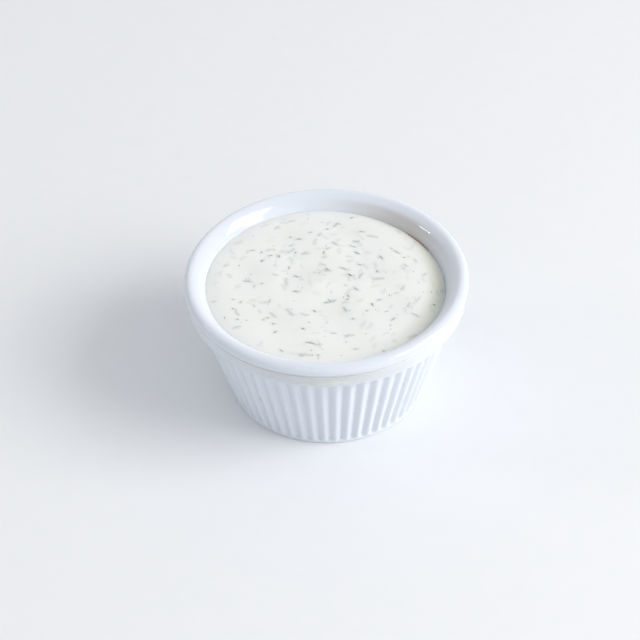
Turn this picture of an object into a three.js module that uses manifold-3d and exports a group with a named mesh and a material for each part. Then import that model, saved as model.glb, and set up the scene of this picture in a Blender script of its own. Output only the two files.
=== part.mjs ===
// A fluted ramekin filled with a dill and yogurt dip, in millimetres.
// +Z is up and the origin is the middle of the foot, on the surface it stands on.
import * as THREE from 'three';
import { mergeVertices } from 'three/addons/utils/BufferGeometryUtils.js';
import Module from 'manifold-3d';

// Rim: a round bead, with a slope inside it that curves down, ever steeper, to the wall.
const RIM_RADIUS = 37.5;
const HEIGHT = 36.8;
const BEAD_RADIUS = 1.75;
const SLOPE_TOP_ANGLE = 28;
const SLOPE_FOOT_ANGLE = 60;
const SLOPE_FOOT_RADIUS = 32.5;

// Plain collar under the bead, which meets it in a shallow crease.
const CREASE_RADIUS = 36.9;
const CREASE_HEIGHT = 33.5;
const BEAD_UNDERSIDE = -45;
const COLLAR_RADIUS = 37.0;
const COLLAR_TOP = 33.3;
const COLLAR_BOTTOM = 30.1;
const COLLAR_DRAFT = 0.1;
const COLLAR_EDGE = 0.25;

// Fluted wall: ribs with soft crests and valleys that taper down to the foot. Crest and valley
// are places across half a rib, from 0 at its middle to 1 at the middle of the valley.
const RIB_COUNT = 58;
const RIB_TOP = 29.8;
const RIB_BOTTOM = 0.85;
const CREST_RADIUS_TOP = 35.0;
const CREST_RADIUS_BOTTOM = 26.75;
const RIB_DEPTH = 0.85;
const RIB_CREST = 0.35;
const RIB_VALLEY = 0.75;
const RIB_END_ROUND = 0.25;
const RIB_OVERLAP = 0.5;

// Foot ring, and the shallow recess inside it.
const FOOT_RADIUS = 26.55;
const FOOT_EDGE = 0.6;
const FOOT_TOP = 0.95;
const FOOT_RING_WIDTH = 3.9;
const RECESS_DEPTH = 0.8;
const CORE_INSET = 1.0;

// Inside of the bowl.
const WALL_TOP_RADIUS = 31.9;
const WALL_TOP_HEIGHT = 33.3;
const WALL_TAPER = 0.281;
const FLOOR_HEIGHT = 3.6;
const FLOOR_FILLET = 5.0;

// The dip: where it meets the wall, and the soft relief of its top.
const GAP = 0.3;
const DIP_LEVEL = 33.65;
const DIP_EDGE_LEVEL = 33.5;
const DIP_EDGE_DROP = 2.1;
const DROP_DIRECTION = 30;
const DROP_SPREAD = 0.6;
const ROLL_START = 0.85;
const KNOB = { x: -2.5, y: -1.1, radius: 3.4, height: 0.45 };
const RIPPLE = { radius: 8.5, width: 2.6, depth: 0.16 };
const SWELL_HEIGHT = 0.14;
const SWELL_LENGTH = 17;
const SWELL_SKEW = 0.4;
const CALM_EDGE = 6;

const RAMEKIN_SEGMENTS = 88;
const DIP_SEGMENTS = 72;
const BEAD_STEPS = 9;
const SLOPE_STEPS = 3;
const FILLET_STEPS = 3;
const EDGE_STEPS = 2;
const TOP_RINGS = 13;
const RING_CROWDING = 0.7;

// The largest dill threads that lie on the dip: place, length and heading on its top.
const THREAD_WIDTH = 0.55;
const THREAD_HEIGHT = 0.5;
const THREAD_SIDES = 6;
const THREAD_STEPS = 4;
const THREADS = [
  { x: 6.3, y: 2.6, length: 1.2, heading: -45 },
  { x: -7.9, y: 2.7, length: 1.6, heading: -25 },
  { x: 8.4, y: 11.9, length: 1.8, heading: -35 },
  { x: -3.2, y: -11.4, length: 1.2, heading: -55 },
  { x: 11.8, y: -9.5, length: 1.3, heading: -80 },
  { x: -13.5, y: -19.4, length: 1.1, heading: 35 },
  { x: 13.6, y: 3.9, length: 1.0, heading: -65 },
  { x: -8.0, y: -3.6, length: 1.6, heading: -10 },
  { x: 0.4, y: 5.3, length: 1.4, heading: -50 },
  { x: 14.9, y: 9.6, length: 1.4, heading: -65 },
  { x: 17.0, y: -15.7, length: 1.6, heading: 50 },
  { x: 2.9, y: 24.1, length: 1.8, heading: 40 },
  { x: -9.9, y: 6.6, length: 1.2, heading: 75 },
  { x: 5.7, y: -5.8, length: 1.1, heading: -55 },
  { x: -4.3, y: -24.0, length: 3.0, heading: -20 },
  { x: -7.1, y: 18.2, length: 1.4, heading: 0 },
  { x: -19.6, y: 13.8, length: 1.4, heading: 0 },
  { x: -20.8, y: 1.1, length: 2.6, heading: -15 },
  { x: 2.6, y: 15.8, length: 1.4, heading: -40 },
  { x: 7.4, y: 14.7, length: 2.0, heading: -25 },
  { x: 19.2, y: 11.6, length: 2.2, heading: -40 },
  { x: 4.8, y: 5.5, length: 2.6, heading: -30 },
  { x: 9.1, y: 2.2, length: 2.6, heading: 65 },
  { x: 26.1, y: 1.9, length: 1.6, heading: 40 },
  { x: 7.8, y: -3.2, length: 1.7, heading: -50 },
  { x: 4.6, y: -11.2, length: 2.2, heading: -65 },
  { x: 22.9, y: -14.2, length: 2.6, heading: -40 },
  { x: -5.9, y: 12.2, length: 1.5, heading: 20 },
];

const MERGE_DISTANCE = 1e-5;
const radians = THREE.MathUtils.degToRad;
const wasm = await Module();
wasm.setup();

function toSolid(geometry) {
  const bare = geometry.index ? geometry.toNonIndexed() : geometry.clone();
  bare.deleteAttribute('normal');
  bare.deleteAttribute('uv');
  const merged = mergeVertices(bare, MERGE_DISTANCE);
  const vertProperties = new Float32Array(merged.attributes.position.array);
  const triVerts = new Uint32Array(merged.index.array);
  const mesh = new wasm.Mesh({ numProp: 3, vertProperties, triVerts });
  mesh.merge();
  return new wasm.Manifold(mesh);
}

function toGeometry(solid) {
  const mesh = solid.getMesh();
  const geometry = new THREE.BufferGeometry();
  geometry.setAttribute('position', new THREE.BufferAttribute(mesh.vertProperties, mesh.numProp));
  geometry.setIndex(new THREE.BufferAttribute(mesh.triVerts, 1));
  geometry.computeVertexNormals();
  return geometry;
}

// Points of an arc in a section, where x is the radius and y the height.
function arc(centreX, centreY, radius, fromDegrees, toDegrees, steps) {
  return Array.from({ length: steps + 1 }, (_, i) => {
    const angle = radians(fromDegrees + ((toDegrees - fromDegrees) * i) / steps);
    return new THREE.Vector2(centreX + radius * Math.cos(angle), centreY + radius * Math.sin(angle));
  });
}

// A section turned about the Z axis. It runs anticlockwise, from the axis back to the axis.
function turned(section, segments) {
  const geometry = new THREE.LatheGeometry(section, segments);
  geometry.rotateX(Math.PI / 2);
  return geometry;
}

function crestRadius(z) {
  const share = (z - RIB_BOTTOM) / (RIB_TOP - RIB_BOTTOM);
  return CREST_RADIUS_BOTTOM + (CREST_RADIUS_TOP - CREST_RADIUS_BOTTOM) * share;
}

function wallRadius(z) {
  return WALL_TOP_RADIUS - WALL_TAPER * (WALL_TOP_HEIGHT - z);
}

// The slope inside the bead leaves it at one angle and ends above the wall at a steeper one.
function slopeSection() {
  const centreX = RIM_RADIUS - BEAD_RADIUS;
  const centreY = HEIGHT - BEAD_RADIUS;
  const top = radians(SLOPE_TOP_ANGLE);
  const touchX = centreX - BEAD_RADIUS * Math.sin(top);
  const touchY = centreY + BEAD_RADIUS * Math.cos(top);
  const spread = Math.sin(radians(SLOPE_FOOT_ANGLE)) - Math.sin(top);
  const bend = (touchX - SLOPE_FOOT_RADIUS) / spread;
  const slope = arc(
    touchX + bend * Math.sin(top),
    touchY - bend * Math.cos(top),
    bend,
    90 + SLOPE_FOOT_ANGLE,
    90 + SLOPE_TOP_ANGLE,
    SLOPE_STEPS,
  );
  return { centreX, centreY, touchX, touchY, slope };
}

// The inside of the bowl from its floor to the top of its fillet, moved inwards by an offset.
function bowlSection(offset) {
  const lean = Math.atan(WALL_TAPER);
  const filletBottom = FLOOR_HEIGHT + offset;
  const centreY = filletBottom + FLOOR_FILLET;
  const wallAtCentre = wallRadius(centreY) - offset / Math.cos(lean);
  const centreX = wallAtCentre - FLOOR_FILLET / Math.cos(lean);
  const fillet = arc(centreX, centreY, FLOOR_FILLET, -90, -THREE.MathUtils.radToDeg(lean), FILLET_STEPS);
  return [new THREE.Vector2(0, filletBottom), ...fillet];
}

function ramekinOutside() {
  const { centreX, centreY, touchY } = slopeSection();
  const coreTop = CREST_RADIUS_TOP - RIB_DEPTH - CORE_INSET;
  const collarFoot = COLLAR_RADIUS - COLLAR_DRAFT;
  const section = [
    new THREE.Vector2(0, RECESS_DEPTH),
    new THREE.Vector2(FOOT_RADIUS - FOOT_RING_WIDTH - RECESS_DEPTH, RECESS_DEPTH),
    new THREE.Vector2(FOOT_RADIUS - FOOT_RING_WIDTH, 0),
    ...arc(FOOT_RADIUS - FOOT_EDGE, FOOT_EDGE, FOOT_EDGE, -90, 0, EDGE_STEPS),
    new THREE.Vector2(FOOT_RADIUS, FOOT_TOP),
    new THREE.Vector2(FOOT_RADIUS - CORE_INSET, FOOT_TOP),
    new THREE.Vector2(coreTop, COLLAR_BOTTOM),
    new THREE.Vector2(collarFoot - COLLAR_EDGE, COLLAR_BOTTOM),
    new THREE.Vector2(collarFoot, COLLAR_BOTTOM + COLLAR_EDGE),
    new THREE.Vector2(COLLAR_RADIUS, COLLAR_TOP),
    new THREE.Vector2(CREASE_RADIUS, CREASE_HEIGHT),
    ...arc(centreX, centreY, BEAD_RADIUS, BEAD_UNDERSIDE, 90 + SLOPE_TOP_ANGLE, BEAD_STEPS),
    new THREE.Vector2(0, touchY),
  ];
  return turned(section, RAMEKIN_SEGMENTS);
}

// The free space of the bowl, carried above the rim so that it cuts cleanly.
function ramekinInside() {
  const { touchX, touchY, slope } = slopeSection();
  const rise = BEAD_RADIUS;
  const above = new THREE.Vector2(touchX + rise / Math.tan(radians(SLOPE_TOP_ANGLE)), touchY + rise);
  const section = [
    ...bowlSection(0),
    new THREE.Vector2(WALL_TOP_RADIUS, WALL_TOP_HEIGHT),
    ...slope,
    above,
    new THREE.Vector2(0, above.y),
  ];
  return turned(section, RAMEKIN_SEGMENTS);
}

// The ribs as one tapered prism with a scalloped outline and rounded lower ends.
function ribs() {
  const corners = [
    { across: -RIB_VALLEY, depth: RIB_DEPTH },
    { across: -RIB_CREST, depth: 0 },
    { across: RIB_CREST, depth: 0 },
    { across: RIB_VALLEY, depth: RIB_DEPTH },
  ];
  const outline = [];
  for (let rib = 0; rib < RIB_COUNT; rib += 1) {
    for (const { across, depth } of corners) {
      const angle = ((rib + across / 2) * 2 * Math.PI) / RIB_COUNT;
      const radius = 1 - depth / CREST_RADIUS_TOP;
      outline.push(new THREE.Vector2(radius * Math.cos(angle), radius * Math.sin(angle)));
    }
  }
  const levels = [
    { z: RIB_BOTTOM, inset: RIB_END_ROUND },
    { z: RIB_BOTTOM + RIB_END_ROUND, inset: 0 },
    { z: COLLAR_BOTTOM + RIB_OVERLAP, inset: 0 },
  ];
  const steps = levels.length - 1;
  const geometry = new THREE.ExtrudeGeometry(new THREE.Shape(outline), {
    depth: steps,
    steps,
    bevelEnabled: false,
  });
  const position = geometry.attributes.position;
  for (let i = 0; i < position.count; i += 1) {
    const { z, inset } = levels[Math.round(position.getZ(i))];
    const scale = crestRadius(z) - inset;
    position.setXYZ(i, position.getX(i) * scale, position.getY(i) * scale, z);
  }
  return geometry;
}

// How far the dip's edge sags: most at the back right, least opposite.
function edgeDrop(angle) {
  const turn = Math.cos(angle - radians(DROP_DIRECTION));
  return DIP_EDGE_DROP * Math.exp((turn - 1) / DROP_SPREAD);
}

function dipEdgeHeight(angle) {
  return DIP_EDGE_LEVEL - edgeDrop(angle);
}

// Height of the dip's top: a broad mound that rolls down to its edge, with a knob,
// a ripple round it and slow swells that calm down towards the edge.
function dipHeight(x, y) {
  const edge = dipEdgeHeight(Math.atan2(y, x));
  const out = Math.min(Math.hypot(x, y) / wallRadius(edge), 1);
  const roll = Math.max((out - ROLL_START) / (1 - ROLL_START), 0) ** 2;
  const fromKnob = Math.hypot(x - KNOB.x, y - KNOB.y);
  const knob = KNOB.height * Math.exp(-((fromKnob / KNOB.radius) ** 2));
  const ripple = RIPPLE.depth * Math.exp(-(((fromKnob - RIPPLE.radius) / RIPPLE.width) ** 2));
  const turn = (2 * Math.PI) / SWELL_LENGTH;
  const swell = SWELL_HEIGHT * (Math.sin(turn * (x + SWELL_SKEW * y)) + Math.cos(turn * y));
  const relief = (knob - ripple + swell) * (1 - out ** CALM_EDGE);
  return DIP_LEVEL + (edge - DIP_LEVEL) * roll + relief;
}

// The dip's body: it fills the bowl up to its edge, and its rings then close over the top.
// The rings are first turned on a cone whose height counts them.
function dipBody() {
  const sides = bowlSection(GAP);
  const edgeGap = GAP / Math.cos(Math.atan(WALL_TAPER));
  const top = Array.from({ length: TOP_RINGS }, (_, ring) => {
    const inwards = ring / (TOP_RINGS - 1);
    return new THREE.Vector2(1 - inwards, DIP_LEVEL + ring);
  });
  const geometry = turned([...sides, ...top], DIP_SEGMENTS);
  const position = geometry.attributes.position;
  for (let i = 0; i < position.count; i += 1) {
    if (position.getZ(i) < DIP_LEVEL) {
      continue;
    }
    const angle = Math.atan2(position.getY(i), position.getX(i));
    const spread = Math.hypot(position.getX(i), position.getY(i)) ** RING_CROWDING;
    const radius = spread * (wallRadius(dipEdgeHeight(angle)) - edgeGap);
    const x = radius * Math.cos(angle);
    const y = radius * Math.sin(angle);
    position.setXYZ(i, x, y, dipHeight(x, y));
  }
  return geometry;
}

// One dill thread: a slim lens that lies half sunk in the dip's top.
function thread({ x, y, length, heading }) {
  const geometry = new THREE.SphereGeometry(1 / 2, THREAD_SIDES, THREAD_STEPS);
  geometry.rotateZ(Math.PI / 2);
  geometry.scale(length, THREAD_WIDTH, THREAD_HEIGHT);
  geometry.rotateZ(radians(heading));
  geometry.translate(x, y, dipHeight(x, y));
  return geometry;
}

const ramekinSolid = toSolid(ramekinOutside()).add(toSolid(ribs())).subtract(toSolid(ramekinInside()));
const dipSolid = THREADS.reduce(
  (solid, each) => solid.add(toSolid(thread(each))),
  toSolid(dipBody()),
);

const glaze = new THREE.MeshStandardMaterial({ color: 0xe9eef6, roughness: 0.18, metalness: 0 });
const yogurt = new THREE.MeshStandardMaterial({ color: 0xecebe2, roughness: 0.35, metalness: 0 });

const ramekin = new THREE.Mesh(toGeometry(ramekinSolid), glaze);
ramekin.name = 'ramekin';
const dip = new THREE.Mesh(toGeometry(dipSolid), yogurt);
dip.name = 'dip';

const model = new THREE.Group();
model.add(ramekin, dip);

export default model;
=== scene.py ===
# A white fluted melamine ramekin filled with a dill and yogurt dip.
# The pieces' sizes are in millimetres, and each finished piece is scaled once to metres. The
# camera and the lights are placed in metres.
import random
from math import atan, atan2, cos, degrees, exp, hypot, pi, radians, sin, sqrt

import bmesh
import bpy
from mathutils import Matrix, Vector, noise


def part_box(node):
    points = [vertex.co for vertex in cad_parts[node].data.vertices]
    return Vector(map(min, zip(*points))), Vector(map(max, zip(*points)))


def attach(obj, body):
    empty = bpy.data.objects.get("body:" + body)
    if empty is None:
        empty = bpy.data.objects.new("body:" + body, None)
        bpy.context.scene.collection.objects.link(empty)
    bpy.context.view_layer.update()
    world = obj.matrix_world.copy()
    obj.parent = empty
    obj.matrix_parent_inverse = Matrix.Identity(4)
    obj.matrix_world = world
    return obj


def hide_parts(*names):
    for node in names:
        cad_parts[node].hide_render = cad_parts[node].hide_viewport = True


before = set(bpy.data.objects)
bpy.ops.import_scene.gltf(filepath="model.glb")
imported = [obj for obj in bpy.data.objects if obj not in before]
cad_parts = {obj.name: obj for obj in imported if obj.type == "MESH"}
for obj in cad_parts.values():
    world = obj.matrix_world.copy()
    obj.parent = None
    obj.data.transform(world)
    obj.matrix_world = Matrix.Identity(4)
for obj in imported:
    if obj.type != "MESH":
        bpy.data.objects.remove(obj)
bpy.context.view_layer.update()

MM = 0.001

# Rim: a round bead, with a slope inside it that curves down, ever steeper, to the wall.
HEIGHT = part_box("ramekin")[1].z / MM
RIM_RADIUS = 37.5
BEAD_RADIUS = 1.75
BEAD_CENTRE_RADIUS = RIM_RADIUS - BEAD_RADIUS
BEAD_CENTRE_HEIGHT = HEIGHT - BEAD_RADIUS
SLOPE_TOP_ANGLE = 28
SLOPE_FOOT_ANGLE = 60
SLOPE_FOOT_RADIUS = 32.5
LIP_ROUND = 0.45

# Plain collar under the bead, which meets it in a shallow crease.
CREASE_HEIGHT = 33.6
BEAD_UNDERSIDE = -45
COLLAR_RADIUS = 37.0
COLLAR_TOP = 33.3
SHOULDER_RADIUS = 0.2
SHOULDER_END = 60
COLLAR_BOTTOM = 30.1
COLLAR_DRAFT = 0.1
COLLAR_EDGE = 0.25

# Fluted wall and foot.
RIB_COUNT = 58
RIB_TOP = 29.8
RIB_BOTTOM = 0.85
CREST_RADIUS_TOP = 35.0
CREST_RADIUS_BOTTOM = 26.75
RIB_DEPTH = 0.85
RIB_FULLNESS = 0.7
RIB_END = 0.35
RIB_FADE = 1.1
FOOT_RADIUS = 26.6
FOOT_EDGE = 0.6
FOOT_RING_WIDTH = 3.9
RECESS_DEPTH = 0.8

# Inside of the bowl.
WALL_TOP_RADIUS = 31.9
WALL_TOP_HEIGHT = 33.3
WALL_START_HEIGHT = WALL_TOP_HEIGHT - 1
WALL_TAPER = 0.281
FLOOR_HEIGHT = 3.6
FLOOR_FILLET = 5.0

# The dip's top, as in the solid model.
DIP_LEVEL = 33.65
DIP_EDGE_LEVEL = 33.5
DIP_EDGE_DROP = 2.1
DROP_DIRECTION = 30
DROP_SPREAD = 0.6
ROLL_START = 0.85
KNOB_X, KNOB_Y, KNOB_RADIUS, KNOB_HEIGHT = -2.5, -1.1, 3.4, 0.45
RIPPLE_RADIUS, RIPPLE_WIDTH, RIPPLE_DEPTH = 8.5, 2.6, 0.16
SWELL_HEIGHT = 0.14
SWELL_LENGTH = 17
SWELL_SKEW = 0.4
CALM_EDGE = 6

# Fine relief of the dip's top, which the solid model leaves out.
UNEVEN_HEIGHT, UNEVEN_LENGTH = 0.035, 3.2
GRAIN_HEIGHT, GRAIN_LENGTH = 0.012, 0.9
UNEVEN_SLICE, GRAIN_SLICE = 3, 9

# How far the dip runs into the wall, so that no gap shows.
DIP_OVERLAP = 0.2
# Depth below the dip's level within which a point counts as its top.
DIP_TOP_DEPTH = 4

# Directions in degrees of the marks on the dish and dip, and how far they spread. The crease line,
# the low inner slope and the band along the dip's edge carry painted shade; the smudge, film and
# stain were left by use.
CREASE_SHADE_DIRECTION, CREASE_SHADE_SPREAD = -114, 12
SMUDGE_DIRECTION, SMUDGE_SPREAD = -82, 1.4
FILM_DIRECTION, FILM_SPREAD = -92, 36
STAIN_DIRECTION, STAIN_SPREAD = 36, 9
WALL_SHADE_DIRECTION, WALL_SHADE_SPREAD = 48, 28
RIM_SHADE_DIRECTION, RIM_SHADE_SPREAD = -3, 42

# How far the marks reach, and how strong they are, from 0 to 1.
# The crease under the bead is darkened all round as painted shade, more at the front left.
CREASE_LINE_REACH = 0.16
CREASE_LINE_STRENGTH = 0.02
CREASE_SHADE_STRENGTH = 0.25
SMUDGE_REACH = 0.4
SMUDGE_STRENGTH = 0.25
FILM_LOW, FILM_HIGH = 0.2, 0.7
FILM_TOP_FADE = 0.5
FILM_ROUGHNESS = 0.5
MATT_ROUGHNESS = 0.22
# Painted shade, warm like the dip's reflection, low on the inner slope at the back right.
WALL_SHADE_LOW, WALL_SHADE_HIGH = 0.9, 1.9
WALL_SHADE_STRENGTH = 0.8
STAIN_REACH = 0.5
STAIN_STRENGTH = 0.45

# Depth within the dish's wall that tells its outside from its inside.
WITHIN_WALL = 1

# The rim's painted shade on the dip along the wall, by distance from the wall; it thins out at
# the wall itself, where the dip's bend already shades it.
RIM_SHADE_FULL, RIM_SHADE_END = 1.8, 5.6
RIM_SHADE_CLEAR = 1.6
RIM_SHADE_AT_WALL = 0.1

# Mesh fineness.
MERGE_DISTANCE = 1e-4
STEPS_PER_RIB = 12
DIP_PARTS = 40
STEPS_PER_PART = 12
DIP_RINGS = 130
RING_CROWDING = 0.9
BEAD_STEPS = 24
SLOPE_STEPS = 12
LIP_STEPS = 4
FOOT_EDGE_STEPS = 6
COLLAR_EDGE_STEPS = 3
COLLAR_STEPS = 7
SHOULDER_STEPS = 5
FILLET_STEPS = 8
WALL_STEPS = 15
RIB_FOOT_STEPS, RIB_MIDDLE_STEPS, RIB_HEAD_STEPS = 4, 8, 6

# Camera, fitted to the photo: the target is on the axis, and the pixel is where it shows.
IMAGE_SIZE = 640
FOCAL_PIXELS = 2000
SENSOR_WIDTH = 36
CAMERA_DISTANCE = 0.537
CAMERA_ELEVATION = 41.18
CAMERA_ROLL = -1.53
TARGET_HEIGHT = 0.020
TARGET_PIXEL = (327.3, 321.0)

SEED = 7


def linear(hex_colour):
    """An sRGB hex colour as linear RGBA."""
    parts = [int(hex_colour[i:i + 2], 16) / 255 for i in (1, 3, 5)]
    return tuple(c / 12.92 if c <= 0.04045 else ((c + 0.055) / 1.055) ** 2.4 for c in parts) + (1.0,)


def smoothstep(value, low, high):
    share = min(max((value - low) / (high - low), 0.0), 1.0)
    return share * share * (3 - 2 * share)


def bell(distance, width):
    return exp(-((distance / width) ** 2))


# Pieces

def finish_piece(bm, name, material, smooth_angle=60):
    """Scales a mesh in millimetres to metres and makes it a piece that rides on the part."""
    bmesh.ops.scale(bm, vec=(MM, MM, MM), verts=bm.verts)
    mesh = bpy.data.meshes.new(name)
    bm.to_mesh(mesh)
    bm.free()
    mesh.shade_smooth()
    mesh.set_sharp_from_angle(angle=radians(smooth_angle))
    mesh.materials.append(material)
    piece = bpy.data.objects.new(name, mesh)
    bpy.context.scene.collection.objects.link(piece)
    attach(piece, "root")
    return piece


def arc(centre_r, centre_z, radius, start, end, steps):
    angles = [radians(start + (end - start) * i / steps) for i in range(steps + 1)]
    return [(centre_r + radius * cos(a), centre_z + radius * sin(a)) for a in angles]


def line(start, end, steps):
    """Points from start up to but not including end."""
    return [tuple(a + (b - a) * i / steps for a, b in zip(start, end)) for i in range(steps)]


def spun(section, parts, steps):
    """A section of (radius, height) points, turned about Z through one part of the circle in a few
    steps; copies of that part close the circle."""
    bm = bmesh.new()
    verts = [bm.verts.new((r, 0, z)) for r, z in section]
    edges = [bm.edges.new(pair) for pair in zip(verts, verts[1:])]
    part = 2 * pi / parts
    about = {"cent": (0, 0, 0), "axis": (0, 0, 1)}
    bmesh.ops.spin(bm, geom=verts + edges, angle=part, steps=steps, **about)
    bmesh.ops.spin(bm, geom=bm.verts[:] + bm.edges[:] + bm.faces[:], angle=2 * pi - part,
                   steps=parts - 1, use_duplicate=True, **about)
    bmesh.ops.remove_doubles(bm, verts=bm.verts, dist=MERGE_DISTANCE)
    bmesh.ops.recalc_face_normals(bm, faces=bm.faces)
    return bm


def crest_radius(z):
    share = (z - RIB_BOTTOM) / (RIB_TOP - RIB_BOTTOM)
    return CREST_RADIUS_BOTTOM + (CREST_RADIUS_TOP - CREST_RADIUS_BOTTOM) * share


def wall_radius(z):
    return WALL_TOP_RADIUS - WALL_TAPER * (WALL_TOP_HEIGHT - z)


def bowl_section(offset):
    """From the middle of the bowl's floor up to the end of its fillet, moved inwards by an offset."""
    lean = atan(WALL_TAPER)
    centre_z = FLOOR_HEIGHT + offset + FLOOR_FILLET
    centre_r = wall_radius(centre_z) - (offset + FLOOR_FILLET) / cos(lean)
    fillet = arc(centre_r, centre_z, FLOOR_FILLET, -90, -degrees(lean), FILLET_STEPS)
    return [(0, FLOOR_HEIGHT + offset)] + fillet


def slope_section():
    """The bend of the slope inside the bead: its centre, its radius and the end of the bead's arc."""
    top = radians(SLOPE_TOP_ANGLE)
    touch = (BEAD_CENTRE_RADIUS - BEAD_RADIUS * sin(top), BEAD_CENTRE_HEIGHT + BEAD_RADIUS * cos(top))
    bend = (touch[0] - SLOPE_FOOT_RADIUS) / (sin(radians(SLOPE_FOOT_ANGLE)) - sin(top))
    return touch[0] + bend * sin(top), touch[1] - bend * cos(top), bend


def rib_section():
    """The line of the crests, with its points closest together at the ribs' two ends."""
    low, high = RIB_BOTTOM + RIB_END, RIB_TOP
    heights = [low + RIB_FADE * i / RIB_FOOT_STEPS for i in range(RIB_FOOT_STEPS)]
    middle = high - low - 2 * RIB_FADE
    heights += [low + RIB_FADE + middle * i / RIB_MIDDLE_STEPS for i in range(RIB_MIDDLE_STEPS)]
    heights += [high - RIB_FADE + RIB_FADE * i / RIB_HEAD_STEPS for i in range(RIB_HEAD_STEPS + 1)]
    return [(crest_radius(z), z) for z in heights]


def ramekin_section():
    """From the middle of the underside up the outside, over the rim and down to the bowl's floor."""
    collar_foot = COLLAR_RADIUS - COLLAR_DRAFT
    section = [(0, RECESS_DEPTH), (FOOT_RADIUS - FOOT_RING_WIDTH - RECESS_DEPTH, RECESS_DEPTH)]
    section += [(FOOT_RADIUS - FOOT_RING_WIDTH, 0)]
    section += arc(FOOT_RADIUS - FOOT_EDGE, FOOT_EDGE, FOOT_EDGE, -90, 0, FOOT_EDGE_STEPS)
    section += [(FOOT_RADIUS, RIB_BOTTOM)]
    section += rib_section()
    section += [(CREST_RADIUS_TOP, COLLAR_BOTTOM)]
    edge_height = COLLAR_BOTTOM + COLLAR_EDGE
    section += arc(collar_foot - COLLAR_EDGE, edge_height, COLLAR_EDGE, -90, 0, COLLAR_EDGE_STEPS)
    collar_start = (collar_foot, COLLAR_BOTTOM + 2 * COLLAR_EDGE)
    section += line(collar_start, (COLLAR_RADIUS, COLLAR_TOP), COLLAR_STEPS)
    shoulder_centre = COLLAR_RADIUS - SHOULDER_RADIUS
    section += arc(shoulder_centre, COLLAR_TOP, SHOULDER_RADIUS, 0, SHOULDER_END, SHOULDER_STEPS)
    bead = (BEAD_CENTRE_RADIUS, BEAD_CENTRE_HEIGHT, BEAD_RADIUS)
    bead_end = 90 + SLOPE_TOP_ANGLE
    section += arc(*bead, BEAD_UNDERSIDE, bead_end, BEAD_STEPS)
    slope = arc(*slope_section(), bead_end, 90 + SLOPE_FOOT_ANGLE, SLOPE_STEPS)[1:]
    section += slope
    lip = (WALL_TOP_RADIUS, WALL_TOP_HEIGHT)
    wall_foot = bowl_section(0)[-1]
    section += rounded_corner(lip, slope[-1], wall_foot)
    wall_start = (wall_radius(WALL_START_HEIGHT), WALL_START_HEIGHT)
    section += line(wall_start, wall_foot, WALL_STEPS)
    section += list(reversed(bowl_section(0)))
    return section


def rounded_corner(corner, before, after):
    """The lip where the slope turns into the wall, as a short curve round its corner."""
    towards = [Vector(p) - Vector(corner) for p in (before, after)]
    start, end = (Vector(corner) + step.normalized() * LIP_ROUND for step in towards)
    curve = []
    for i in range(LIP_STEPS + 1):
        t = i / LIP_STEPS
        point = start * (1 - t) ** 2 + Vector(corner) * 2 * t * (1 - t) + end * t * t
        curve.append(tuple(point))
    return curve


def rib_height(across):
    """Height of a rib above its valley, from 0 to 1, for a place from -1 to 1 across it."""
    return ((1 + cos(pi * across)) / 2) ** RIB_FULLNESS


def flute(bm):
    """Presses the valleys between the ribs into the outside wall; they fade out at both ends."""
    for vert in bm.verts:
        x, y, z = vert.co
        radius = hypot(x, y)
        outside = crest_radius(z) - RIB_DEPTH < radius < CREST_RADIUS_TOP + RIB_DEPTH / 2
        if not outside or not RIB_BOTTOM < z < RIB_TOP:
            continue
        turn = atan2(y, x) * RIB_COUNT / (2 * pi)
        across = 2 * (turn - round(turn))
        fade = smoothstep(z, RIB_BOTTOM, RIB_BOTTOM + RIB_FADE) * smoothstep(RIB_TOP - z, 0, RIB_FADE)
        scale = 1 - RIB_DEPTH * (1 - rib_height(across)) * fade / radius
        vert.co.x, vert.co.y = x * scale, y * scale


def angle_gap(angle, centre):
    """Distance between two directions in degrees, from 0 to 180."""
    return abs((angle - centre + 180) % 360 - 180)


def mark_ramekin(bm):
    """Marks painted shade along the crease under the bead, stronger at the front left, with a brown
    smudge on it; dried dip (film); painted shade low on the inner slope at the back right; and
    where its moulded ribs are duller (matt) than its rim."""
    crease_shade_and_smudge = bm.verts.layers.float.new("crease_shade_and_smudge")
    film = bm.verts.layers.float.new("film")
    painted_wall_shade = bm.verts.layers.float.new("painted_wall_shade")
    matt = bm.verts.layers.float.new("matt")
    for vert in bm.verts:
        x, y, z = vert.co
        radius = hypot(x, y)
        angle = degrees(atan2(y, x))
        if radius > COLLAR_RADIUS - WITHIN_WALL and z > COLLAR_BOTTOM:
            # Painted shade along the crease under the bead, stronger at the front left, and a brown
            # smudge.
            above = z - CREASE_HEIGHT
            front = bell(angle_gap(angle, CREASE_SHADE_DIRECTION), CREASE_SHADE_SPREAD)
            line_strength = CREASE_LINE_STRENGTH + CREASE_SHADE_STRENGTH * front
            smudge = bell(angle_gap(angle, SMUDGE_DIRECTION), SMUDGE_SPREAD) * bell(above, SMUDGE_REACH)
            vert[crease_shade_and_smudge] = bell(above, CREASE_LINE_REACH) * line_strength + SMUDGE_STRENGTH * smudge
            collar = smoothstep(z, COLLAR_BOTTOM + FILM_LOW, COLLAR_BOTTOM + FILM_HIGH)
            collar *= 1 - smoothstep(above, 0, FILM_TOP_FADE)
            vert[film] = collar * bell(angle_gap(angle, FILM_DIRECTION), FILM_SPREAD)
        if radius > wall_radius(z) + WITHIN_WALL and z < COLLAR_BOTTOM:
            vert[matt] = 1
        # Painted shade, warm like the dip's reflection, low on the inner slope at the back right.
        if radius < BEAD_CENTRE_RADIUS and z > COLLAR_BOTTOM:
            low = 1 - smoothstep(radius, WALL_TOP_RADIUS + WALL_SHADE_LOW, WALL_TOP_RADIUS + WALL_SHADE_HIGH)
            vert[painted_wall_shade] = low * bell(angle_gap(angle, WALL_SHADE_DIRECTION), WALL_SHADE_SPREAD)


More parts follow.
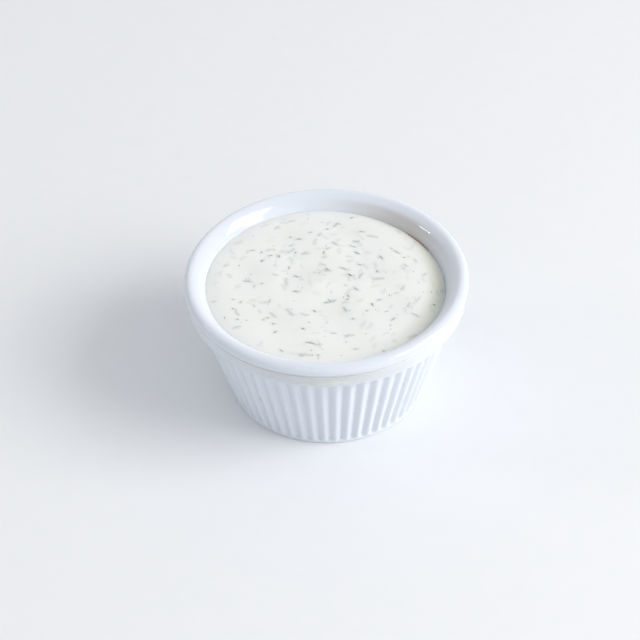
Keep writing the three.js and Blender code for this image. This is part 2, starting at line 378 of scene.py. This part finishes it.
def ramekin(material):
    bm = spun(ramekin_section(), RIB_COUNT, STEPS_PER_RIB)
    bmesh.ops.rotate(bm, verts=bm.verts, matrix=Matrix.Rotation(pi / RIB_COUNT, 3, "Z"))
    flute(bm)
    mark_ramekin(bm)
    piece = finish_piece(bm, "fluted_ramekin", material, smooth_angle=50)
    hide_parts("ramekin")


def dip_edge_height(angle):
    turn = cos(angle - radians(DROP_DIRECTION))
    return DIP_EDGE_LEVEL - DIP_EDGE_DROP * exp((turn - 1) / DROP_SPREAD)


def dip_height(x, y):
    edge = dip_edge_height(atan2(y, x))
    out = min(hypot(x, y) / wall_radius(edge), 1)
    roll = max((out - ROLL_START) / (1 - ROLL_START), 0) ** 2
    from_knob = hypot(x - KNOB_X, y - KNOB_Y)
    knob = KNOB_HEIGHT * bell(from_knob, KNOB_RADIUS)
    ripple = RIPPLE_DEPTH * bell(from_knob - RIPPLE_RADIUS, RIPPLE_WIDTH)
    turn = 2 * pi / SWELL_LENGTH
    swell = SWELL_HEIGHT * (sin(turn * (x + SWELL_SKEW * y)) + cos(turn * y))
    uneven = UNEVEN_HEIGHT * noise.noise(Vector((x, y, UNEVEN_SLICE)) / UNEVEN_LENGTH)
    grain = GRAIN_HEIGHT * noise.noise(Vector((x, y, GRAIN_SLICE)) / GRAIN_LENGTH)
    relief = knob - ripple + swell + (uneven + grain)
    return DIP_LEVEL + (edge - DIP_LEVEL) * roll + relief * (1 - out ** CALM_EDGE)


# Dill by tone: x, y, length and heading of each piece that stands out. The pieces were picked in
# the photo, and their places were worked out from the picks with the fitted camera.
SURFACE_DILL = {
    "black": ((6.3, 2.6, 1.2, -45), (27.9, -9.9, 0.6, 0)),
    "dark": (
        (-14.8, 11.6, 0.9, 15), (-17.1, 9.5, 0.9, 40), (-12.4, 11.3, 0.9, 90), (-8.0, 12.7, 0.7, 50),
        (-0.4, 12.2, 1.0, 85), (-7.9, 2.7, 1.6, -25), (-15.4, -13.7, 0.6, 0), (-13.5, -19.4, 1.1, 35),
        (-3.2, -11.4, 1.2, -55), (8.4, 11.9, 1.8, -35), (9.1, 7.1, 0.7, 0), (13.6, 3.9, 1.0, -65),
        (11.8, -9.5, 1.3, -80), (0.7, 22.4, 0.7, 0),
    ),
    "green": (
        (-17.2, 12.9, 0.7, 30), (-9.9, 6.6, 1.2, 75), (-8.0, -3.6, 1.6, -10), (-22.5, -7.1, 1.0, 50),
        (-24.5, -9.8, 0.7, 0), (-23.2, -14.2, 0.6, 0), (-16.5, -14.5, 0.6, 25), (-13.9, -16.2, 0.8, -30),
        (-0.2, -7.9, 1.1, 0), (0.4, 5.3, 1.4, -50), (14.9, 9.6, 1.4, -65), (5.7, -5.8, 1.1, -55),
        (5.4, -7.1, 0.8, 0), (13.6, -7.6, 1.1, 25), (17.0, -15.7, 1.6, 50), (14.1, -27.4, 0.7, 0),
        (2.9, 24.1, 1.8, 40), (-3.9, 21.0, 0.9, 20), (7.4, 27.2, 1.1, 40),
    ),
    "olive": (
        (-6.3, -18.6, 0.9, -25), (-4.3, -24.0, 3.0, -20), (21.0, 9.4, 0.5, 0), (15.4, -27.8, 1.0, 10),
        (-9.4, 19.2, 0.8, 0), (-7.1, 18.2, 1.4, 0),
    ),
    "grey": (
        (-19.6, 13.8, 1.4, 0), (-9.2, 15.7, 1.3, 30), (-5.9, 12.2, 1.5, 20), (-20.8, 1.1, 2.6, -15),
        (-19.0, -1.0, 0.9, 70), (-14.9, -6.8, 1.0, 70), (-11.9, -26.4, 1.3, -45), (2.6, 15.8, 1.4, -40),
        (0.7, 13.9, 1.0, 15), (7.4, 14.7, 2.0, -25), (17.8, 13.1, 0.8, -55), (19.2, 11.6, 2.2, -40),
        (4.8, 5.5, 2.6, -30), (9.1, 2.2, 2.6, 65), (26.1, 1.9, 1.6, 40), (30.4, -3.6, 1.4, 60),
        (7.8, -3.2, 1.7, -50), (4.6, -11.2, 2.2, -65), (22.9, -14.2, 2.6, -40), (7.0, -26.5, 1.0, 0),
    ),
    "brown": (
        (-17.0, -0.1, 0.6, 0), (-24.5, -6.1, 0.5, 0), (10.3, -12.1, 0.6, 0), (6.6, -15.3, 0.8, 0),
        (10.0, 20.7, 1.4, -10),
    ),
    "tan": (
        (-0.5, 10.2, 0.8, 0), (-13.6, 3.4, 1.6, -30), (-2.4, -24.8, 1.2, 20), (5.1, -1.7, 0.6, 0),
    ),
}
SUNK_DILL = (
    (-10.6, 0.3, 2.4, 90), (-23.5, -11.5, 2.0, -75), (-29.7, -6.6, 0.7, -15), (-14.0, -12.7, 2.2, -45),
    (-23.3, -17.3, 1.5, 15), (-5.7, -13.2, 1.4, -15), (-9.7, -12.1, 3.0, -60), (-5.6, -28.5, 3.2, -5),
    (1.0, -7.5, 2.2, 15), (8.3, 16.7, 1.1, 0), (23.9, 7.9, 1.0, -75), (21.3, 5.9, 0.9, -65),
    (14.1, 0.7, 2.0, 5), (21.2, -10.0, 1.4, 65), (20.1, -3.3, 1.2, 65), (5.4, -21.4, 2.0, 5),
    (21.7, -21.9, 1.5, 25), (-8.8, 26.2, 1.2, 0), (-13.0, 23.6, 1.2, 35), (-1.4, 19.9, 1.3, 55),
    (12.8, 18.4, 2.6, -20), (-9.1, 13.6, 2.0, 40), (-14.8, 13.9, 1.8, 5),
)
DILL_COLOURS = {
    "black": "#666659",
    "dark": "#a3aaa4",
    "green": "#b1bab0",
    "olive": "#b6b391",
    "grey": "#c2cbcd",
    "brown": "#bfb9b0",
    "tan": "#d7d3bf",
}
RESIDUE_COLOUR = "#c6b0a3"
THREAD_WIDTH = 0.42
THREAD_WIDTH_RANGE = (0.8, 1.2)
THREAD_THICKNESS = 0.2
THREAD_BEND = 0.16
# Loose flecks: how many, shortest, longest and width.
LOOSE_DOTS = (48, 0.3, 0.5, 0.32)
LOOSE_SLIVERS = (28, 0.7, 1.8, 0.28)
LOOSE_TONES = ("grey", "grey", "grey", "brown", "green")
LOOSE_BEND = 0.15
HEADING_SCATTER = 40
# Threads under the top: width and how near the top they are.
SUNK_MARK = (0.42, 0.34)
SOFT_EDGE = (0.45, 0.16)
SUNK_SLIVERS = 150
SUNK_LENGTHS = (0.6, 2.2)
SUNK_WIDTHS = (0.3, 0.55)
SUNK_STRENGTHS = (0.06, 0.22)
SUNK_BEND = 0.45
SUNK_BEND_LENGTH = 1.3
DILL_LIMIT = 30.0


def random_place(draw):
    """An even draw over the dip's round top."""
    radius = DILL_LIMIT * sqrt(draw.random())
    angle = draw.uniform(0, 2 * pi)
    return radius * cos(angle), radius * sin(angle)


def swirl_heading(draw, x, y):
    """The direction in which stirring left a thread: mostly round the knob."""
    return degrees(atan2(y - KNOB_Y, x - KNOB_X)) + 90 + draw.gauss(0, HEADING_SCATTER)


def sunk_dill():
    """All threads under the surface: place, length, heading, width and how near the top they are.
    The threads that lie on the top get a faint soft edge in the same way."""
    draw = random.Random(SEED)
    sunk = [place + SUNK_MARK for place in SUNK_DILL]
    sunk += [place + SOFT_EDGE for places in SURFACE_DILL.values() for place in places]
    for _ in range(SUNK_SLIVERS):
        x, y = random_place(draw)
        heading = swirl_heading(draw, x, y)
        length = draw.uniform(*SUNK_LENGTHS)
        sunk.append((x, y, length, heading, draw.uniform(*SUNK_WIDTHS), draw.uniform(*SUNK_STRENGTHS)))
    return sunk


def paint_sunk_dill(bm):
    """Marks the dip's top (sunk, 0 to 1) where threads show through it, with soft outlines."""
    layer = bm.verts.layers.float.new("sunk")
    tops = [v for v in bm.verts if v.co.z > DIP_LEVEL - DIP_TOP_DEPTH]
    cell = 2.0
    grid = {}
    bent = {}
    bm.verts.index_update()
    for vert in tops:
        flat = Vector((vert.co.x, vert.co.y, 0))
        bent[vert.index] = (flat + SUNK_BEND * noise.noise_vector(flat / SUNK_BEND_LENGTH)).xy
        grid.setdefault((int(vert.co.x // cell), int(vert.co.y // cell)), []).append(vert)
    for x, y, length, heading, width, strength in sunk_dill():
        along = Vector((cos(radians(heading)), sin(radians(heading))))
        reach = length / 2 + 2 * width
        for i in range(int((x - reach) // cell), int((x + reach) // cell) + 1):
            for j in range(int((y - reach) // cell), int((y + reach) // cell) + 1):
                for vert in grid.get((i, j), ()):
                    offset = bent[vert.index] - Vector((x, y))
                    run = offset.dot(along)
                    beyond = max(abs(run) - length / 2, 0)
                    side = offset.dot(along.orthogonal())
                    mark = strength * bell(hypot(beyond, side), width)
                    vert[layer] = min(vert[layer] + mark, 1)


def mark_rim_shade(bm):
    """Marks the painted shade of the rim on the low band of the dip along the wall, greyish olive,
    and the brownish halo of the residue at the back right (stain)."""
    rim_shade = bm.verts.layers.float.new("rim_shade")
    stain = bm.verts.layers.float.new("stain")
    for vert in bm.verts:
        x, y, z = vert.co
        if z < DIP_LEVEL - DIP_TOP_DEPTH:
            continue
        angle = atan2(y, x)
        edge = dip_edge_height(angle)
        from_wall = wall_radius(edge) - hypot(x, y)
        # The painted shade thins out at the wall itself, where the dip's bend already shades it.
        clear = RIM_SHADE_AT_WALL + (1 - RIM_SHADE_AT_WALL) * smoothstep(from_wall, 0, RIM_SHADE_CLEAR)
        band = (1 - smoothstep(from_wall, RIM_SHADE_FULL, RIM_SHADE_END)) * clear
        vert[rim_shade] = band * bell(angle_gap(degrees(angle), RIM_SHADE_DIRECTION), RIM_SHADE_SPREAD)
        spread = bell(angle_gap(degrees(angle), STAIN_DIRECTION), STAIN_SPREAD)
        vert[stain] = STAIN_STRENGTH * spread * bell(z - edge, STAIN_REACH)


def dip(material):
    """The sides follow the bowl. The top is spun as a flat lid, and its rings are then spread out
    to the wall and laid at the dip's height."""
    sides = bowl_section(-DIP_OVERLAP)
    lid_height = DIP_LEVEL + 1
    rings = [1 - i / (DIP_RINGS - 1) for i in range(DIP_RINGS)]
    section = sides + [(ring, lid_height) for ring in rings]
    bm = spun(section, DIP_PARTS, STEPS_PER_PART)
    for vert in bm.verts:
        if vert.co.z < DIP_LEVEL:
            continue
        angle = atan2(vert.co.y, vert.co.x)
        share = hypot(vert.co.x, vert.co.y) ** RING_CROWDING
        radius = share * (wall_radius(dip_edge_height(angle)) + DIP_OVERLAP)
        x, y = radius * cos(angle), radius * sin(angle)
        vert.co = (x, y, dip_height(x, y))
    bmesh.ops.recalc_face_normals(bm, faces=bm.faces)
    paint_sunk_dill(bm)
    mark_rim_shade(bm)
    piece = finish_piece(bm, "yogurt_dip", material, smooth_angle=80)
    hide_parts("dip")


def add_thread(bm, colour, x, y, length, heading, width, thickness, bend):
    """One dill thread: a slim lens, bent along its length and laid on the dip's top."""
    thread = bmesh.new()
    tint = thread.verts.layers.float_color.new("tint")
    bmesh.ops.create_uvsphere(thread, u_segments=8, v_segments=6, radius=0.5)
    bmesh.ops.rotate(thread, verts=thread.verts, matrix=Matrix.Rotation(pi / 2, 3, "Y"))
    bmesh.ops.scale(thread, verts=thread.verts, vec=(length, width, thickness))
    for vert in thread.verts:
        vert.co.y += bend * (2 * vert.co.x / length) ** 2
        vert[tint] = colour
    bmesh.ops.rotate(thread, verts=thread.verts, matrix=Matrix.Rotation(radians(heading), 3, "Z"))
    bmesh.ops.translate(thread, verts=thread.verts, vec=(x, y, 0))
    for vert in thread.verts:
        vert.co.z += dip_height(vert.co.x, vert.co.y)
    shape = bpy.data.meshes.new("thread")
    thread.to_mesh(shape)
    thread.free()
    bm.from_mesh(shape)
    bpy.data.meshes.remove(shape)


def dill(material):
    bm = bmesh.new()
    draw = random.Random(SEED + 1)
    for tone, places in SURFACE_DILL.items():
        for x, y, length, heading in places:
            width = THREAD_WIDTH * draw.uniform(*THREAD_WIDTH_RANGE)
            bend = THREAD_BEND * length * draw.uniform(-1, 1)
            colour = linear(DILL_COLOURS[tone])
            add_thread(bm, colour, x, y, length, heading, width, THREAD_THICKNESS, bend)
    for count, shortest, longest, width in (LOOSE_DOTS, LOOSE_SLIVERS):
        for _ in range(count):
            x, y = random_place(draw)
            tone = draw.choice(LOOSE_TONES)
            add_thread(bm, linear(DILL_COLOURS[tone]), x, y, draw.uniform(shortest, longest),
                       swirl_heading(draw, x, y), width, width / 2, draw.uniform(-LOOSE_BEND, LOOSE_BEND))
    finish_piece(bm, "dill_threads", material)


# Dried splashes on the outside: direction in degrees, height, half width and half height.
COLLAR_SMEARS = (
    (-88.0, 31.5, 2.2, 0.85),
    (-83.8, 31.3, 1.3, 0.5),
    (-92.5, 31.1, 1.6, 0.5),
    (-99.4, 30.8, 1.6, 0.3),
)
SMEAR_THICKNESS = 0.08
SMEAR_SINK = 0.06
# Unevenness of outlines and thicknesses: how strong, how dense, and where the noise is read.
SMEAR_RAG, SMEAR_RAG_DENSITY, SMEAR_RAG_STEP = 0.35, 1.6, 7
SMEAR_THIN, SMEAR_LUMPS, SMEAR_LUMP_DENSITY, SMEAR_LUMP_STEP = 0.7, 0.6, 3.1, 5
RESIDUE_THIN, RESIDUE_LUMPS, RESIDUE_DENSITY, RESIDUE_SLICE = 0.7, 0.6, 6, 5
CRUMB_LUMPS, CRUMB_DENSITY = 0.5, 4
RESIDUE_RISE, RESIDUE_HALF_HEIGHT, RESIDUE_THICKNESS = 0.25, 0.42, 0.08
# Crumbs on the outside: direction, radius, height, size and tone.
CRUMBS = (
    (-123.2, 34.6, 28.5, 0.35, "brown"),
    (-126.0, 31.0, 15.7, 0.45, "tan"),
    (-53.0, 32.2, 20.1, 0.30, "brown"),
    (-101.6, 32.4, 20.7, 0.28, "grey"),
    (-78.1, 30.4, 13.7, 0.28, "grey"),
    (-59.0, 36.9, 33.6, 0.30, "brown"),
    (-96.4, 36.9, 36.4, 0.28, "tan"),
    (178.0, 37.4, 35.6, 0.35, "brown"),
    (184.0, 37.4, 35.4, 0.30, "brown"),
)


def smears(material):
    """Thin dried splashes of dip on the collar, uneven in outline and thickness."""
    bm = bmesh.new()
    for index, (direction, height, half_width, half_height) in enumerate(COLLAR_SMEARS):
        made = bmesh.ops.create_uvsphere(bm, u_segments=40, v_segments=24, radius=1)
        for vert in made["verts"]:
            outline = vert.co * SMEAR_RAG_DENSITY + Vector((index * SMEAR_RAG_STEP, 0, 0))
            ragged = 1 + SMEAR_RAG * noise.noise(outline)
            around = radians(direction) + vert.co.x * ragged * half_width / COLLAR_RADIUS
            crust = vert.co * SMEAR_LUMP_DENSITY + Vector((0, index * SMEAR_LUMP_STEP, 0))
            lumps = SMEAR_THIN + SMEAR_LUMPS * noise.noise(crust)
            radius = COLLAR_RADIUS - SMEAR_SINK + vert.co.y * SMEAR_THICKNESS * lumps
            top = height + vert.co.z * ragged * half_height
            vert.co = (radius * cos(around), radius * sin(around), top)
    bmesh.ops.recalc_face_normals(bm, faces=bm.faces)
    finish_piece(bm, "dried_smears", material)


def residue(bm, tint):
    """The brownish line that dried on the wall just above the dip at the back right."""
    made = bmesh.ops.create_uvsphere(bm, u_segments=12, v_segments=48, radius=1)
    for vert in made["verts"]:
        across, outwards, along = vert.co
        around = radians(STAIN_DIRECTION + along * STAIN_SPREAD)
        unevenness = noise.noise(Vector((along * RESIDUE_DENSITY, 0, RESIDUE_SLICE)))
        ragged = RESIDUE_THIN + RESIDUE_LUMPS * unevenness
        height = dip_edge_height(around) + RESIDUE_RISE + across * ragged * RESIDUE_HALF_HEIGHT
        radius = wall_radius(height) - outwards * RESIDUE_THICKNESS
        vert.co = (radius * cos(around), radius * sin(around), height)
        vert[tint] = linear(RESIDUE_COLOUR)


def crumbs(material):
    bm = bmesh.new()
    tint = bm.verts.layers.float_color.new("tint")
    residue(bm, tint)
    for direction, radius, height, size, tone in CRUMBS:
        around = radians(direction)
        spot = Vector((radius * cos(around), radius * sin(around), height))
        made = bmesh.ops.create_icosphere(bm, subdivisions=2, radius=size / 2,
                                          matrix=Matrix.Translation(spot))
        for vert in made["verts"]:
            vert.co += (vert.co - spot) * CRUMB_LUMPS * noise.noise(vert.co * CRUMB_DENSITY)
            vert[tint] = linear(DILL_COLOURS[tone])
    bmesh.ops.recalc_face_normals(bm, faces=bm.faces)
    finish_piece(bm, "loose_crumbs", material)


# Materials

def add_node(tree, kind, settings=None, links=None):
    """Adds a node; settings are its own values, links its inputs, each a value or a socket."""
    made = tree.nodes.new(kind)
    for name, value in (settings or {}).items():
        setattr(made, name, value)
    for name, value in (links or {}).items():
        if isinstance(value, bpy.types.NodeSocket):
            tree.links.new(value, made.inputs[name])
        else:
            made.inputs[name].default_value = value
    return made


def new_material(name):
    material = bpy.data.materials.new(name)
    material.use_nodes = True
    tree = material.node_tree
    tree.nodes.clear()
    output = tree.nodes.new("ShaderNodeOutputMaterial")
    shader = tree.nodes.new("ShaderNodeBsdfPrincipled")
    tree.links.new(shader.outputs["BSDF"], output.inputs["Surface"])
    place = tree.nodes.new("ShaderNodeTexCoord").outputs["Object"]
    return material, tree, shader, place


def per_metre(size_mm):
    """Noise scale for features of a size in millimetres, on Object coordinates in metres."""
    return 1 / (size_mm * MM)


# Sockets of a Mix node that mixes two colours.
MIX_FACTOR, MIX_A, MIX_B, MIX_RESULT = 0, 6, 7, 2


def melamine():
    # Compression-moulded melamine: a hard cool white with a wet gloss and a faint orange peel.
    # The gloss gives narrow bright highlights and fades on the duller ribs. Painted shade darkens the
    # crease under the bead, with a brown smudge, and painted shade warmed like the dip's reflection
    # lies low on the inner slope.
    material, tree, shader, place = new_material("moulded_melamine")
    cloud = add_node(tree, "ShaderNodeTexNoise", None,
                     {"Vector": place, "Scale": per_metre(14), "Detail": 2.0})
    body = add_node(tree, "ShaderNodeMix", {"data_type": "RGBA"},
                    {MIX_FACTOR: cloud.outputs["Fac"], MIX_A: linear("#dfe5ee"),
                     MIX_B: linear("#e4e9f0")})
    patches = add_node(tree, "ShaderNodeTexNoise", None,
                       {"Vector": place, "Scale": per_metre(1.6), "Detail": 5.0, "Roughness": 0.6})
    film = add_node(tree, "ShaderNodeAttribute", {"attribute_name": "film"})
    film_mask = add_node(tree, "ShaderNodeMath", {"operation": "MULTIPLY"},
                         {0: film.outputs["Fac"], 1: patches.outputs["Fac"]})
    filmed = add_node(tree, "ShaderNodeMix", {"data_type": "RGBA"},
                      {MIX_FACTOR: film_mask.outputs[0], MIX_A: body.outputs[MIX_RESULT],
                       MIX_B: linear("#cdd0ca")})
    # Painted shade, warm like the dip's reflection, low on the inner slope.
    painted_wall_shade = add_node(tree, "ShaderNodeAttribute", {"attribute_name": "painted_wall_shade"})
    painted_wall_shade_mask = add_node(tree, "ShaderNodeMath", {"operation": "MULTIPLY"},
                         {0: painted_wall_shade.outputs["Fac"], 1: WALL_SHADE_STRENGTH})
    wetted = add_node(tree, "ShaderNodeMix", {"data_type": "RGBA"},
                      {MIX_FACTOR: painted_wall_shade_mask.outputs[0], MIX_A: filmed.outputs[MIX_RESULT],
                       MIX_B: linear("#d0cdca")})
    # Painted shade in the crease under the bead, with a brown smudge at the front.
    crease_shade_and_smudge = add_node(tree, "ShaderNodeAttribute", {"attribute_name": "crease_shade_and_smudge"})
    broken = add_node(tree, "ShaderNodeMapRange", None,
                      {"Value": patches.outputs["Fac"], "From Min": 0.35, "From Max": 0.62,
                       "To Min": 0.25, "To Max": 1.0})
    crease_shade_and_smudge_mask = add_node(tree, "ShaderNodeMath", {"operation": "MULTIPLY"},
                         {0: crease_shade_and_smudge.outputs["Fac"], 1: broken.outputs["Result"]})
    coloured = add_node(tree, "ShaderNodeMix", {"data_type": "RGBA"},
                        {MIX_FACTOR: crease_shade_and_smudge_mask.outputs[0], MIX_A: wetted.outputs[MIX_RESULT],
                         MIX_B: linear("#8f8070")})
    peel = add_node(tree, "ShaderNodeTexNoise", None,
                    {"Vector": place, "Scale": per_metre(2.5), "Detail": 1.0})
    bump = add_node(tree, "ShaderNodeBump", None,
                    {"Height": peel.outputs["Fac"], "Strength": 0.05, "Distance": 0.02 * MM})
    gloss = add_node(tree, "ShaderNodeMapRange", None,
                     {"Value": patches.outputs["Fac"], "To Min": 0.06, "To Max": 0.1})
    dulled = add_node(tree, "ShaderNodeMath", {"operation": "MULTIPLY_ADD"},
                      {0: film_mask.outputs[0], 1: FILM_ROUGHNESS, 2: gloss.outputs["Result"]})
    matt = add_node(tree, "ShaderNodeAttribute", {"attribute_name": "matt"})
    rough = add_node(tree, "ShaderNodeMath", {"operation": "MULTIPLY_ADD"},
                     {0: matt.outputs["Fac"], 1: MATT_ROUGHNESS, 2: dulled.outputs[0]})
    tree.links.new(coloured.outputs[MIX_RESULT], shader.inputs["Base Color"])
    tree.links.new(rough.outputs[0], shader.inputs["Roughness"])
    tree.links.new(bump.outputs["Normal"], shader.inputs["Normal"])
    shader.inputs["IOR"].default_value = 1.55
    shader.inputs["Specular IOR Level"].default_value = 0.35
    shader.inputs["Diffuse Roughness"].default_value = 0.7
    return material


def strained_yogurt():
    # Strained yogurt: dense off-white, satin and a little translucent, which softens shadows on its
    # swells. Threads just under the top show as blue-grey marks, and a painted greyish olive shade by
    # the wall stands for the rim's shadow on the dip.
    material, tree, shader, place = new_material("strained_yogurt")
    cloud = add_node(tree, "ShaderNodeTexNoise", None,
                     {"Vector": place, "Scale": per_metre(9), "Detail": 3.0, "Roughness": 0.55})
    body = add_node(tree, "ShaderNodeMix", {"data_type": "RGBA"},
                    {MIX_FACTOR: cloud.outputs["Fac"], MIX_A: linear("#e7eae9"),
                     MIX_B: linear("#eef0ec")})
    # Painted shade of the rim on the dip along the wall, greyish olive.
    rim_shade = add_node(tree, "ShaderNodeAttribute", {"attribute_name": "rim_shade"})
    painted_wall_shade = add_node(tree, "ShaderNodeMix", {"data_type": "RGBA"},
                    {MIX_FACTOR: rim_shade.outputs["Fac"], MIX_A: body.outputs[MIX_RESULT],
                     MIX_B: linear("#c4c6b9")})
    sunk = add_node(tree, "ShaderNodeAttribute", {"attribute_name": "sunk"})
    marked = add_node(tree, "ShaderNodeMix", {"data_type": "RGBA"},
                      {MIX_FACTOR: sunk.outputs["Fac"], MIX_A: painted_wall_shade.outputs[MIX_RESULT],
                       MIX_B: linear("#7f8f98")})
    stain = add_node(tree, "ShaderNodeAttribute", {"attribute_name": "stain"})
    stained = add_node(tree, "ShaderNodeMix", {"data_type": "RGBA"},
                       {MIX_FACTOR: stain.outputs["Fac"], MIX_A: marked.outputs[MIX_RESULT],
                        MIX_B: linear("#8d7560")})
    curd = add_node(tree, "ShaderNodeTexNoise", None,
                    {"Vector": place, "Scale": per_metre(1.1), "Detail": 4.0})
    bump = add_node(tree, "ShaderNodeBump", None,
                    {"Height": curd.outputs["Fac"], "Strength": 0.18, "Distance": 0.05 * MM})
    gloss = add_node(tree, "ShaderNodeMapRange", None,
                     {"Value": cloud.outputs["Fac"], "To Min": 0.28, "To Max": 0.42})
    tree.links.new(stained.outputs[MIX_RESULT], shader.inputs["Base Color"])
    tree.links.new(gloss.outputs["Result"], shader.inputs["Roughness"])
    tree.links.new(bump.outputs["Normal"], shader.inputs["Normal"])
    shader.inputs["IOR"].default_value = 1.38
    shader.inputs["Subsurface Weight"].default_value = 0.5
    shader.inputs["Subsurface Radius"].default_value = (1.3, 1.1, 0.9)
    shader.inputs["Subsurface Scale"].default_value = 1.2 * MM
    return material


def dill_leaf():
    # Chopped dill coated with yogurt: pale grey-green, with a few darker pieces that lie bare. The
    # crumbs and the residue line share this finish in tones of their own.
    material, tree, shader, place = new_material("chopped_dill")
    tint = add_node(tree, "ShaderNodeAttribute", {"attribute_name": "tint"})
    mottle = add_node(tree, "ShaderNodeTexNoise", None,
                      {"Vector": place, "Scale": per_metre(0.5), "Detail": 3.0})
    value = add_node(tree, "ShaderNodeMapRange", None,
                     {"Value": mottle.outputs["Fac"], "To Min": 0.6, "To Max": 1.4})
    coloured = add_node(tree, "ShaderNodeHueSaturation", None,
                        {"Color": tint.outputs["Color"], "Value": value.outputs["Result"]})
    bump = add_node(tree, "ShaderNodeBump", None,
                    {"Height": mottle.outputs["Fac"], "Strength": 0.3, "Distance": 0.05 * MM})
    tree.links.new(coloured.outputs["Color"], shader.inputs["Base Color"])
    tree.links.new(bump.outputs["Normal"], shader.inputs["Normal"])
    shader.inputs["Roughness"].default_value = 0.35
    return material


def dried_dip():
    # Yogurt dried on to the collar: matt, whitish at its thick parts and greyer where thin.
    material, tree, shader, place = new_material("dried_dip")
    crust = add_node(tree, "ShaderNodeTexNoise", None,
                     {"Vector": place, "Scale": per_metre(0.8), "Detail": 5.0})
    coloured = add_node(tree, "ShaderNodeMix", {"data_type": "RGBA"},
                        {MIX_FACTOR: crust.outputs["Fac"], MIX_A: linear("#cfd3d0"),
                         MIX_B: linear("#e3e6e4")})
    bump = add_node(tree, "ShaderNodeBump", None,
                    {"Height": crust.outputs["Fac"], "Strength": 0.6, "Distance": 0.1 * MM})
    tree.links.new(coloured.outputs[MIX_RESULT], shader.inputs["Base Color"])
    tree.links.new(bump.outputs["Normal"], shader.inputs["Normal"])
    shader.inputs["Roughness"].default_value = 0.62
    return material


def tabletop():
    # A pale laminate top: plain, with a faint unevenness so that it isn't one flat tone.
    material, tree, shader, place = new_material("pale_tabletop")
    grain = add_node(tree, "ShaderNodeTexNoise", None,
                     {"Vector": place, "Scale": per_metre(6), "Detail": 3.0})
    coloured = add_node(tree, "ShaderNodeMix", {"data_type": "RGBA"},
                        {MIX_FACTOR: grain.outputs["Fac"], MIX_A: linear("#e9ecef"),
                         MIX_B: linear("#eceef1")})
    tree.links.new(coloured.outputs[MIX_RESULT], shader.inputs["Base Color"])
    shader.inputs["Roughness"].default_value = 0.6
    return material


# Stage

def floor():
    bm = bmesh.new()
    bmesh.ops.create_grid(bm, x_segments=1, y_segments=1, size=2.0)
    mesh = bpy.data.meshes.new("tabletop")
    bm.to_mesh(mesh)
    bm.free()
    mesh.materials.append(tabletop())
    plane = bpy.data.objects.new("tabletop", mesh)
    bpy.context.scene.collection.objects.link(plane)


# Lights: azimuth and elevation in degrees, distance, width and height in metres, watts, colour.
LIGHTS = {
    "key_softbox": (-15, 34, 1.3, 0.8, 0.8, 11.9, "#fffcfa"),
    "bright_core": (-13, 35, 1.3, 0.55, 0.06, 0.9, "#ffeedd"),
    "low_fill": (-50, 18, 1.5, 1.2, 1.0, 2.4, "#ffffff"),
    "left_lamp": (173, 23.5, 1.2, 0.25, 0.04, 1.0, "#fff6ea"),
}
ROOM_COLOUR = "#fafcff"
ROOM_STRENGTH = 0.63


def area_light(name, azimuth, elevation, distance, width, height, power, colour):
    """An upright rectangular softbox aimed at the dish. Azimuth 0 is +X and 90 is +Y."""
    light = bpy.data.lights.new(name, "AREA")
    light.shape = "RECTANGLE"
    light.size = width
    light.size_y = height
    light.energy = power
    light.color = linear(colour)[:3]
    holder = bpy.data.objects.new(name, light)
    bpy.context.scene.collection.objects.link(holder)
    flat = cos(radians(elevation))
    aim = Vector((flat * cos(radians(azimuth)), flat * sin(radians(azimuth)), sin(radians(elevation))))
    holder.location = aim * distance + Vector((0, 0, TARGET_HEIGHT))
    holder.rotation_euler = aim.to_track_quat("Z", "Y").to_euler()


def lights():
    for name, values in LIGHTS.items():
        area_light(name, *values)
    world = bpy.data.worlds.new("room")
    bpy.context.scene.world = world
    world.use_nodes = True
    background = world.node_tree.nodes["Background"]
    background.inputs["Color"].default_value = linear(ROOM_COLOUR)
    background.inputs["Strength"].default_value = ROOM_STRENGTH


def camera():
    """Stands so that the target point lands on its image point, turned by the photo's slight roll."""
    lens = bpy.data.cameras.new("camera")
    lens.sensor_width = SENSOR_WIDTH
    lens.lens = FOCAL_PIXELS * SENSOR_WIDTH / IMAGE_SIZE
    holder = bpy.data.objects.new("camera", lens)
    bpy.context.scene.collection.objects.link(holder)
    aside, below = (atan2(pixel - IMAGE_SIZE / 2, FOCAL_PIXELS) for pixel in TARGET_PIXEL)
    holder.matrix_world = (
        Matrix.Translation((0, 0, TARGET_HEIGHT))
        @ Matrix.Rotation(radians(90 - CAMERA_ELEVATION), 4, "X")
        @ Matrix.Translation((0, 0, CAMERA_DISTANCE))
        @ Matrix.Rotation(aside, 4, "Y")
        @ Matrix.Rotation(below, 4, "X")
        @ Matrix.Rotation(radians(CAMERA_ROLL), 4, "Z")
    )
    bpy.context.scene.camera = holder


camera()
ramekin(melamine())
dip(strained_yogurt())
dill_material = dill_leaf()
dill(dill_material)
crumbs(dill_material)
smears(dried_dip())
floor()
lights()
bpy.context.scene.view_settings.view_transform = "Standard"
